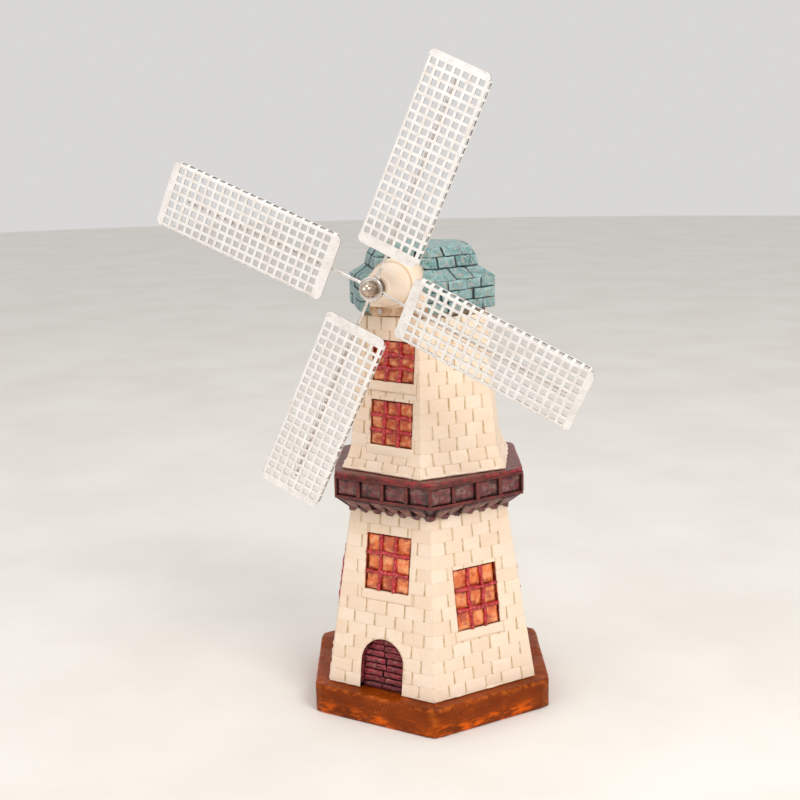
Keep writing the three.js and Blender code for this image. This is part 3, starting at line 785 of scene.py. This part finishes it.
def make_plinth():
    """The plinth: a worn slab with soft edges."""
    (corner_radius, bottom), (_, top) = PLINTH
    radius = corner_radius - 0.15
    rounding = 1.3
    sections = [(radius - 0.4, bottom, 0.3), (radius, bottom + 0.5, 0.2)]
    sections += [(radius, bottom + (top - bottom - rounding) * share, 0) for share in (0.3, 0.6, 0.95)]
    for degrees, edge in ((22, 0.9), (45, 1), (68, 0.9), (90, 0.4)):
        across, up = (rounding * (1 - turn(radians(degrees))) for turn in (cos, sin))
        sections.append((radius - across, top - up, edge))
    sections += [(radius - 3, top, 0.1), (radius * 0.86, top, 0), (radius * 0.6, top, 0)]
    shape = Shape()
    soft_slab(shape, sections, steps=14)
    shape.build("plinth_body", [RUST], "tower", "rust_brown", "plinth")


def lay_sill(shape, wall, opening, lift, draw):
    x0, x1, y0, _ = opening
    corners = rectangle(x0 - SILL["overhang"], x1 + SILL["overhang"], y0 - SILL["height"], y0 + 0.2)
    lay_block(shape, wall, corners, SILL_BLOCK, draw, lift=lift, steps=8, rough=0.6)


def sill_hole(opening):
    x0, x1, y0, _ = opening
    return (x0 - SILL["overhang"], x1 + SILL["overhang"], y0 - SILL["height"], y0)


def make_tower(name, levels, courses, style, windows, pane_light_tones, draw, turn=0, door=False):
    """A brick tower: its core, its courses, its sills, its windows and the ochre in its joints."""
    # The panes' tone range carries painted light for the lower windows and painted shade for the upper ones
    tiers = [walls(low, high, turn) for low, high in zip(levels, levels[1:])]
    windowed = tiers[-1]
    openings = {window: windowed[row[0]].opening(*row[1:]) for window, row in windows.items()}
    tools = []
    for window, (index, *_) in windows.items():
        outline = rectangle(*openings[window])
        tools.append(prism(outline, windowed[index].matrix, -RECESS[name] + GAP, OVERCUT, slot=2))
    if door:
        tools.append(doorway(windowed[0], -DOOR["recess"] + GAP))
    shape = Shape()
    for tier, tier_walls in enumerate(tiers):
        for index, wall in enumerate(tier_walls):
            mine = [openings[window] for window, row in windows.items() if row[0] == index]
            if tier_walls is not windowed:
                mine = []
            holes = mine + [sill_hole(opening) for opening in mine]
            if door and index == 0:
                lay_round_door(shape, wall, courses[tier], style, draw, holes)
            else:
                lay_courses(shape, wall, courses[tier], style, draw, holes, shape, shift=tier)
            for opening in mine:
                lay_sill(shape, wall, opening, SILL_LIFT[name], draw)
    shape.take_in(core(inset(levels, style["depth"]), tools, turn, wash=0.3))
    shape.take_in(footing(*levels[0], turn, door and windowed[0]))
    shape.build(f"{name}_body", TOWER_PAINTS, "tower", "cream", name)
    for window, (index, *_) in windows.items():
        make_window(windowed[index], window, openings[window], RECESS[name], pane_light_tones, draw)


def footing(radius, height, turn, door_wall):
    """The ragged lip of paint round the foot of a tower, open at its door."""
    lip = Shape()
    sections = [(radius - 2, height, 0), (radius + 0.1, height, 0), (radius, height + 0.5, 0)]
    sections.append((radius - 0.9, height + 1.2, 0))
    soft_slab(lip, sections, steps=30, turn=turn, uneven=0.6, ripple=3.5)
    made = lip.mesh_object("footing", TOWER_PAINTS)
    if door_wall:
        combine(made, doorway(door_wall, -DOOR["recess"] + GAP))
    return made


def doorway(wall, depth):
    outline = arch(DOOR["width"] / 2, -OVERCUT, DOOR["height"])
    return prism(outline, wall.matrix, depth, OVERCUT, slot=3)


def lay_round_door(shape, wall, courses, style, draw, holes):
    """A wall's courses with the arched doorway cut through them."""
    blocks, joints = Shape(), Shape()
    lay_courses(blocks, wall, courses, style, draw, holes, joints)
    for part in (blocks, joints):
        made = part.mesh_object("blocks", TOWER_PAINTS)
        combine(made, doorway(wall, -6))
        shape.take_in(made)


def make_window(wall, name, opening, recess, tones, draw):
    """Nine uneven orange panes behind two upright and two level crimson bars."""
    x0, x1, y0, y1 = opening
    face = WINDOW["lattice_face"]
    x0, x1, y0, y1 = x0 + GAP, x1 - GAP, y0 + GAP, y1 - GAP
    panes = Shape()
    panes.take_in(prism(rectangle(x0, x1, y0, y1), wall.matrix, -recess + 0.4, face - 0.67 * recess))
    style = dict(PANE_BLOCK, depth=recess / 4)
    for row in range(3):
        for column in range(3):
            left = x0 + (x1 - x0) * column / 3
            foot = y0 + (y1 - y0) * row / 3
            corners = rectangle(left, left + (x1 - x0) / 3, foot, foot + (y1 - y0) / 3)
            lift = face + recess * draw.uniform(-0.47, -0.28)
            lay_block(panes, wall, corners, style, draw, lift=lift, steps=4, rough=1.6, tones=tones)
    panes.build(f"{name}_panes", [PANE], "tower", "pane_orange", f"{name}_window_panes")
    bars = Shape()
    for share in (1 / 3, 2 / 3):
        x = x0 + (x1 - x0) * share
        y = y0 + (y1 - y0) * share
        lay_bar(bars, wall, (x, y0), (x, y1), face, draw)
        lay_bar(bars, wall, (x0, y), (x1, y), face + 0.25, draw)
    bars.build(f"{name}_lattice", [CRIMSON], "tower", "crimson", f"{name}_window_lattice")


def lay_bar(shape, wall, start, end, face, draw):
    """A hand-moulded glazing bar: a rounded strip whose width and height wander."""
    start, end = Vector(start), Vector(end)
    run = (end - start).normalized()
    side = Vector((-run.y, run.x))
    steps = 24
    seed = draw.uniform(0, 50)
    right = [(0.6, -0.05), (0.95, -0.4), (1, -1.7)]
    section = [(-across, height) for across, height in reversed(right)] + [(0, 0.08)] + right
    rings = []
    for step in range(steps + 1):
        place = start.lerp(end, step / steps)
        spot = place.to_3d()
        half = 0.85 + 0.45 * wobble(spot, 2.5, seed)
        shift = 0.7 * wobble(spot, 6, seed + 9)
        rise = face + 0.5 * wobble(spot, 3.5, seed + 21)
        ring = []
        for across, height in section:
            at = place + side * (across * half + shift)
            ring.append(shape.point(wall.at(at.x, at.y, rise + height)))
        rings.append(ring)
    shape.loft(rings)


def make_door(wall, draw):
    """The door leaf: two columns of uneven planks under the arch."""
    half = DOOR["width"] / 2 - GAP
    head = DOOR["height"] - GAP
    rows, gap, wander = PLANKS.values()
    rise = head / rows
    planks = Shape()
    for row in range(rows):
        middle = draw.uniform(-wander, wander)
        for left, right in ((-half, middle), (middle, half)):
            corners = rectangle(left + gap, right - gap, row * rise + gap, (row + 1) * rise - gap)
            lay_block(planks, wall, corners, PLANK, draw, lift=DOOR["face"], steps=5, rough=2.6)
    leaf = planks.mesh_object("planks", [DOOR_PAINT])
    combine(leaf, prism(arch(half, GAP, head), wall.matrix, -9, 5), "INTERSECT")
    door = Shape()
    door.take_in(leaf)
    door.take_in(prism(arch(half, GAP, head), wall.matrix, -DOOR["recess"] + 0.5, DOOR["face"] - 1.1))
    door.build("door_leaf", [DOOR_PAINT], "tower", "door_red", "front_door")


def make_gallery():
    """The gallery: a dark core, rails and stiles round its panels, a deck and a row of corbels."""
    neck, eave, deck = GALLERY
    draw = random.Random(SEEDS["gallery"])
    shape = Shape()
    body = [(neck[0] - 1, neck[1]), *inset([eave, (deck[0], deck[1] - 1)], 1.3)]
    shape.take_in(core(body, [], slot=1))
    for index in range(SIDES):
        wall = Wall(index, eave, deck)
        lay_panels(shape, wall, draw)
        lay_corbels(shape, index, draw)
    radius, top = deck
    sections = [(radius - 0.6, top - 1.6, 0.4), (radius, top - 1.2, 0.9), (radius, top - 0.7, 1)]
    sections += [(radius - 0.25, top - 0.2, 1), (radius - 0.7, top, 0.8)]
    sections += [(radius - 2.5, top, 0.1), (radius * 0.7, top, 0)]
    soft_slab(shape, sections, steps=12, uneven=0.3)
    shape.build("gallery_body", [MAROON, PANEL], "tower", "maroon", "gallery")


def lay_panels(shape, wall, draw):
    """The rails, stiles and sunk panels of one side of the gallery."""
    columns, rail, stile = PANELS.values()
    half, top = wall.half(0), wall.height - 1.2
    for y0, y1 in ((0, rail), (top - rail, top)):
        corners = rectangle(-half, half, y0, y1)
        lay_block(shape, wall, corners, RAIL, draw, (True, True), steps=9, rough=0.9)
    for column in range(columns + 1):
        x = (column - columns / 2) * 2 * half / columns
        corners = rectangle(max(x - stile, -half), min(x + stile, half), rail, top - rail)
        mitred = (column == 0, column == columns)
        lay_block(shape, wall, corners, RAIL, draw, mitred, steps=6, rough=1.2)
    for column in range(columns):
        x = (column + 0.5 - columns / 2) * 2 * half / columns
        reach = half / columns - stile
        corners = rectangle(x - reach, x + reach, rail, top - rail)
        lay_block(shape, wall, corners, SUNK_PANEL, draw, slot=1, lift=-1, steps=5, rough=1.3)


def lay_corbels(shape, index, draw):
    """The dark blocks under one side of the gallery, and the pointed feet that end them on the wall."""
    neck, eave, _ = GALLERY
    soffit = Wall(index, neck, eave)
    reach = soffit.half(0) / CORBELS
    for corbel in range(CORBELS):
        x = (2 * corbel + 1 - CORBELS) * reach
        lower, upper, top = 0.55 * reach, 1.05 * reach, soffit.height - 0.3
        corners = [(x - lower, 0), (x + lower, 0), (x + upper, top), (x - upper, top)]
        lay_block(shape, soffit, corners, CORBEL, draw, lift=0.4, slot=1, rough=1.5)
    radius, height = LOWER_TOWER[-1]
    apron = Wall(index, (radius + 0.9, height - 1.3), (radius + 0.9, height + 2))
    for foot in range(CORBELS + 1):
        x = (2 * foot - CORBELS) * reach * 0.96
        tip = 0.35 * reach
        corners = [(x - tip, draw.uniform(0, 0.6)), (x + tip, 0), (x + reach, 2.6), (x - reach, 2.6)]
        corners = [(max(-apron.half(y), min(apron.half(y), px)), y) for px, y in corners]
        lay_block(shape, apron, corners, CORBEL, draw, slot=1, rough=1.5)


# ---- Cap and boss ----

CAP_FRAME = Matrix.Translation((CAP_CENTRE.x, CAP_CENTRE.y, 0)) @ Matrix.Rotation(CAP_TURN, 4, "Z")
BOSS_FRAME = Matrix.Translation(UP * CAP_CENTRE.z) @ FACING  # the rotor's axis in the cap's frame
AXIS_FRAME = CAP_FRAME @ BOSS_FRAME


def make_cap():
    """The cap: stone-like tiles on a skirt, a flared break and a steep roof with a flat top."""
    draw = random.Random(SEEDS["cap"])
    half = NOTCH["half_width"]
    eaves = CAP[0][1]
    opening = rectangle(-half, half, eaves - CAP_CENTRE.z - 5, NOTCH["top"] - CAP_CENTRE.z)
    notch = prism(opening, BOSS_FRAME, NOTCH["rear"], 60, slot=1)
    shape = Shape()
    shape.take_in(core(inset(CAP, TILE["depth"])[:-1], [notch]))
    for part, (low, high) in enumerate(zip(CAP, CAP[1:])):
        for index, wall in enumerate(walls(low, high)):
            holes = [(-half, half, -1, PLATE["top"] - eaves)] if index == 0 and part == 0 else []
            lay_courses(shape, wall, CAP_COURSES[part], TILE, draw, holes, shift=part, rough=2.4)
    plate = rectangle(-half, half, PLATE["foot"] - eaves, PLATE["top"] - eaves)
    lay_block(shape, Wall(0, *CAP[:2]), plate, PLATE_BLOCK, draw, slot=2, lift=-0.1, steps=12)
    radius, top = CAP[-1]
    sections = [(radius - 1, top - 2, 0), (radius - 0.5, top - 0.4, 0), (radius - 1.2, top + 0.1, 0)]
    sections += [(radius * share, top + 0.2, 0) for share in (0.85, 0.6, 0.3)]
    soft_slab(shape, sections, steps=9, uneven=0.4)
    shape.move(CAP_FRAME)
    shape.build("cap_body", [TEAL, GREY, BOSS_PAINT], "tower", "teal", "cap")


def turn_round(shape, matrix, profile, steps=72, uneven=0.0):
    """A piece turned about a frame's z axis from (radius, height, wash) points, run from the back
    outward and forward. A profile that ends where it starts makes a ring; others end on the axis."""
    rings = []
    for radius, height, wash in profile:
        ring = []
        for step in range(steps if radius else 1):
            angle = tau * step / steps
            place = Vector((cos(angle), sin(angle), 0)) * radius + UP * height
            place.xy *= 1 + uneven * wobble(place, 6)
            ring.append(shape.point(matrix @ place, wash))
        rings.append(ring if radius else ring * steps)
    if profile[0] == profile[-1]:
        rings[-1] = rings[0]
    for low, high in zip(rings, rings[1:]):
        for step in range(steps):
            after = (step + 1) % steps
            corners = [low[step], low[after], high[after], high[step]]
            shape.face(dict.fromkeys(corners))


def arc(radius, height, size, start, end, steps, wash=0.0):
    """Profile points round an arc, with angles in degrees from outward to forward."""
    angles = [radians(start + (end - start) * step / steps) for step in range(steps + 1)]
    return [(radius + size * cos(a), height + size * sin(a), wash) for a in angles]


def make_boss():
    """The windshaft's plain cone, with a soft crease round it and a hollow for the stud."""
    rear, cone, step, front = BOSS.values()
    wide, creased, tip = BOSS_RADIUS.values()
    profile = [(0, rear, 0), (wide, rear, 0), (wide, cone, 0.3), (wide - 0.2, cone + 1.5, 0)]
    # Through the crease: (outward, forward, wash), where the wash is painted shade in the groove
    crease = ((0.5, -0.6, 0), (0.35, -0.1, 0.3), (-0.15, 0.15, 1), (-0.2, 0.5, 0.8), (-0.35, 1.6, 0))
    profile += [(creased + out, step + ahead, wash) for out, ahead, wash in crease]
    profile += arc(tip - 0.5, front - 0.5, 0.5, 10, 90, 5)
    # The stud's hollow is washed too, as painted shade
    profile += [(BORE + 0.3, front, 0.6), (BORE, front - 0.3, 1), (BORE, front - 6, 1), (0, front - 6, 1)]
    pivot = Matrix.Translation(UP * front)
    sagged = AXIS_FRAME @ pivot @ Matrix.Rotation(-BOSS_SAG, 4, "X") @ pivot.inverted()
    shape = Shape()
    turn_round(shape, sagged, profile, steps=96, uneven=0.006)
    shape.build("boss_body", [BOSS_PAINT], "tower", "cream", "windshaft_boss")


# ---- Hub and sails ----


def ring_profile(rear, front, radius, bore, edge):
    """A flat ring with a rounded front edge."""
    profile = [(bore, rear, 0), (radius - 0.1, rear, 0), (radius, rear + 0.1, 0)]
    profile += arc(radius - edge, front - edge, edge, 0, 90, 5)
    return profile + [(bore + 0.1, front, 0), (bore, front - 0.1, 0), (bore, rear, 0)]


def make_ring(name, material, body, node, size):
    shape = Shape()
    turn_round(shape, AXIS_FRAME, ring_profile(**size), steps=96)
    shape.build(name, [material], body, "nickel", node)


def make_nut():
    """The acorn nut: a chamfered hexagon under a polished dome."""
    corner = NUT["across_flats"] / 2 / APOTHEM
    rear, top, dome = NUT["rear"], NUT["hexagon"], NUT["dome_radius"]
    shape = Shape()
    rings = []
    hexagon = ((corner - 0.2, rear), (corner, rear + 0.2), (corner, top - 0.35), (corner - 0.45, top))
    for radius, height in hexagon:
        corners = [hexagon_corner(radius, side, FACE_STEP / 2) + UP * height for side in range(SIDES)]
        rings.append([shape.point(AXIS_FRAME @ spot) for spot in corners])
    shape.loft(rings, smooth=False)
    foot, collar = NUT["dome"], dome + 0.1
    profile = [(0, top - 1, 0), (collar, top - 1, 0), (collar, top - 0.05, 0), (dome, foot - 0.1, 0)]
    profile += arc(0, foot, dome, 0, 84, 20) + [(0, foot + dome, 0)]
    turn_round(shape, AXIS_FRAME, profile)
    shape.build("acorn_nut_body", [NUT_NICKEL_BROWN_REFLECTION], "tower", "nickel", "acorn_nut")


def sail_frame(name):
    """A frame at the hub for one arm: y out along the spoke, z out of the sail's face."""
    arm = ARMS[name]
    around = ROTOR_START + list(ARMS).index(name) * tau / len(ARMS) + radians(arm["lean"])
    twist = Matrix.Rotation(radians(arm["twist"]), 4, "Z")
    place = CAP_FRAME @ Matrix.Translation((0, -SPOKE_PLANE, CAP_CENTRE.z))
    return place @ Matrix.Rotation(around, 4, "Y") @ twist @ FACING


def make_spoke(name):
    """A drawn wire spoke with a slight bend and a fillet of solder at the hub."""
    matrix = sail_frame(name)
    start, end = SPOKE["start"], SPOKE["end"]
    steps, sides = 60, 16
    shape = Shape()
    rings = []
    for step in range(steps + 1):
        share = step / steps
        y = start + (end - start) * share
        bend = 0.15 * sin(share * pi * 1.5)
        solder = 0.5 * max(0, 1 - abs(y - HUB["radius"] - 0.4) / 1.6)
        radius = SPOKE["radius"] * (0.6 if step in (0, steps) else 1) + solder
        ring = []
        for side in range(sides):
            angle = -tau * side / sides
            place = Vector((bend + cos(angle) * radius, y, sin(angle) * radius))
            ring.append(shape.point(matrix @ place))
        rings.append(ring)
    shape.loft(rings)
    shape.build(f"{name}_wire", [WIRE], "rotor", "wire", f"{name}_spoke")


# Half widths of a sail's sheet before its edges are folded back
FOLD_RADIUS = SHEET_METAL["fold_radius"]
FLAT_HALF = SAIL["half_width"] - FOLD_RADIUS
FOLD_LENGTH = FOLD_RADIUS * pi / 2
SHEET_HALF = FLAT_HALF + FOLD_LENGTH + SHEET_METAL["fold_depth"] - FOLD_RADIUS
RIM_HALF = SHEET_HALF - SHEET_METAL["rim"]


def wavy(x, y, z, seed):
    """A point of a sail, with the sheet's slight waves."""
    wave = WAVES["height"] * wobble(Vector((x, y, 0)), WAVES["length"], seed)
    return Vector((x, y, z + SHEET_METAL["middle"] + wave))


def on_sheet(across, along, seed):
    """Where a point of the flat sheet lies once its edges are folded back and it is a little wavy."""
    over = abs(across) - FLAT_HALF
    if over <= 0:
        x, z = abs(across), 0
    elif over <= FOLD_LENGTH:
        angle = over / FOLD_RADIUS
        x, z = FLAT_HALF + FOLD_RADIUS * sin(angle), FOLD_RADIUS * (cos(angle) - 1)
    else:
        x, z = FLAT_HALF + FOLD_RADIUS, FOLD_LENGTH - over - FOLD_RADIUS
    return wavy(copysign(x, across), along, z, seed)


def sheet_columns():
    """Lines along a sheet, as distances from its middle, and whether each strip after one has holes."""
    size, pitch = HOLE["size"], HOLE["pitch"]
    half = [size / 2]
    for column in range(1, HOLE["columns"] // 2 + 1):
        half += [column * pitch - size / 2, column * pitch + size / 2]
    cut = half[-1] + pitch - size  # the next column of holes is folded back with the edge
    half += [(half[-1] + cut) / 2, cut, (cut + FLAT_HALF + FOLD_LENGTH) / 2, FLAT_HALF + FOLD_LENGTH]
    half += [RIM_HALF, SHEET_HALF]
    lines = [-x for x in reversed(half)] + half
    middles = [abs(a + b) / 2 for a, b in zip(lines, lines[1:])]
    from_hole = [abs((m + pitch / 2) % pitch - pitch / 2) for m in middles]
    holed = [m < RIM_HALF and (gap < size / 2 or m > cut) for gap, m in zip(from_hole, middles)]
    return lines, holed


def make_sail(name, seed):
    """One sail: perforated sheet with rounded ends, folded back through a row of holes at each side."""
    matrix = sail_frame(name) @ Matrix.Translation((0, ARMS[name]["reach"], 0))
    lines, holed = sheet_columns()
    first = SAIL["inner"] + HOLE["root_band"]
    starts = [first + row * HOLE["pitch"] for row in range(HOLE["rows"])]
    heights = [SAIL["inner"] + SAIL["corner"]]
    for start in starts:
        heights += [start, start + HOLE["size"]]
    heights.append(SAIL["outer"] - SAIL["corner"])
    shape = Shape()
    grid = [[shape.point(on_sheet(x, y, seed)) for x in lines] for y in heights]
    for j, (low, high) in enumerate(zip(grid, grid[1:])):
        for i, hole in enumerate(holed):
            if not (hole and j % 2):
                shape.face((low[i], low[i + 1], high[i + 1], high[i]), smooth=False)
    flat = [i for i, x in enumerate(lines) if abs(x) < FLAT_HALF]
    end_band(shape, [grid[0][i] for i in flat], heights[0], SAIL["inner"], seed)
    end_band(shape, [grid[-1][i] for i in flat], heights[-1], SAIL["outer"], seed)
    made = shape.mesh_object(f"{name}_sail_sheet", [SHEET, SHEET_EDGE_SHADE])
    # The rims of the sheet and its holes take the darker grey material, painted shade
    apply_modifier(made, "SOLIDIFY", thickness=SHEET_METAL["thickness"], offset=0, material_offset_rim=1)
    apply_modifier(made, "BEVEL", width=0.12, segments=1, limit_method="ANGLE", angle_limit=radians(50))
    made.data.transform(Matrix.Scale(MM, 4) @ matrix)
    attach(made, "rotor")
    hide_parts(f"{name}_sail")


def end_band(shape, shared, start, end, seed):
    """The plain band at one end of a sail, with rounded corners."""
    way = copysign(1, end - start)
    width = SAIL["corner"]
    corner = []
    steps = 6
    for step in range(steps + 1):
        angle = pi / 2 * step / steps
        x = SAIL["half_width"] - width * (1 - cos(angle))
        corner.append((x, end - way * width * (1 - sin(angle))))
    places = corner + [(-x, y) for x, y in reversed(corner)]
    outer = [shape.point(wavy(x, y, 0, seed)) for x, y in places]
    ring = list(reversed(shared)) + list(reversed(outer))
    shape.face(reversed(ring) if way > 0 else ring, smooth=False)


def repaint(node, material):
    """Gives a CAD node that keeps its own shape a better material."""
    slots = frame["nodes"][node].data.materials
    slots.clear()
    slots.append(material)


# ---- Studio ----


def make_camera():
    """The camera, to the front right of the windmill and a little above its middle."""
    azimuth, yaw, pitch, roll = (radians(CAMERA[turn]) for turn in ("azimuth", "yaw", "pitch", "roll"))
    place = toward(azimuth) * CAMERA["distance"] + UP * CAMERA["height"]
    turns = Matrix.Rotation(azimuth + yaw, 4, "Z") @ Matrix.Rotation(pi / 2 - pitch, 4, "X")
    camera = bpy.data.objects.new("camera", bpy.data.cameras.new("camera"))
    camera.data.lens = CAMERA["lens"]
    camera.data.clip_start = 10 * MM
    camera.matrix_world = Matrix.Translation(place * MM) @ turns @ Matrix.Rotation(roll, 4, "Z")
    bpy.context.collection.objects.link(camera)
    bpy.context.scene.camera = camera


def make_light(name, azimuth, elevation, distance, size, watts, colour):
    """A soft square light that faces the middle of the windmill, with its distance in metres."""
    a, e = radians(azimuth), radians(elevation)
    away = Vector((sin(a) * cos(e), -cos(a) * cos(e), sin(e)))
    data = bpy.data.lights.new(name, "AREA")
    data.shape = "SQUARE"
    data.size = size
    data.energy = watts
    data.color = colour
    light = bpy.data.objects.new(name, data)
    light.location = LIGHT_TARGET + away * distance
    light.rotation_mode = "QUATERNION"
    light.rotation_quaternion = away.to_track_quat("Z", "Y")
    bpy.context.collection.objects.link(light)


def make_studio():
    """A pale floor, a warm key from the front right, a weaker fill and a soft sky."""
    shape = Shape()
    turns = [tau * i / FLOOR["corners"] for i in range(FLOOR["corners"])]
    ring = [Vector((cos(turn), sin(turn), 0)) * FLOOR["radius"] for turn in turns]
    shape.face([shape.point(place) for place in ring], smooth=False)
    shape.mesh_object("floor", [floor_paint()], MM)
    for name, settings in LIGHTS.items():
        make_light(name, **settings)
    world = bpy.data.worlds.new("world")
    world.use_nodes = True
    background = world.node_tree.nodes["Background"]
    background.inputs["Color"].default_value = SKY["colour"]
    background.inputs["Strength"].default_value = SKY["strength"]
    bpy.context.scene.world = world
    bpy.context.scene.view_settings.view_transform = "Standard"


# ---- The windmill ----

make_camera()
make_studio()
make_plinth()
draw = random.Random(SEEDS["lower_tower"])
lower = ("lower_tower", LOWER_TOWER, LOWER_COURSES, BRICK, LOWER_WINDOWS, LIT_LOWER_PANE_TONES)
make_tower(*lower, draw, door=True)
make_door(Wall(0, *LOWER_TOWER), draw)
make_gallery()
upper = ("upper_tower", UPPER_TOWER, UPPER_COURSES, UPPER_BRICK, UPPER_WINDOWS, SHADED_UPPER_PANE_TONES)
make_tower(*upper, random.Random(SEEDS["upper_tower"]), UPPER_TURN)
make_cap()
make_boss()
make_ring("thrust_washer", NICKEL, "tower", "back_washer", BACK_WASHER)
make_ring("hub_washer", NICKEL, "tower", "front_washer", FRONT_WASHER)
make_ring("hub_drum", DRUM_STEEL_SHADE, "rotor", "hub_disc", HUB)
make_nut()
for arm, seed in zip(ARMS, SEEDS["sails"]):
    make_spoke(arm)
    make_sail(arm, seed)
kept = {"felt_pad": FELT, "cap_collar": GREY, "collar_screw": NICKEL, "rotor_stud": WIRE, "hub_bush": BRASS}
for node, material in kept.items():
    repaint(node, material)
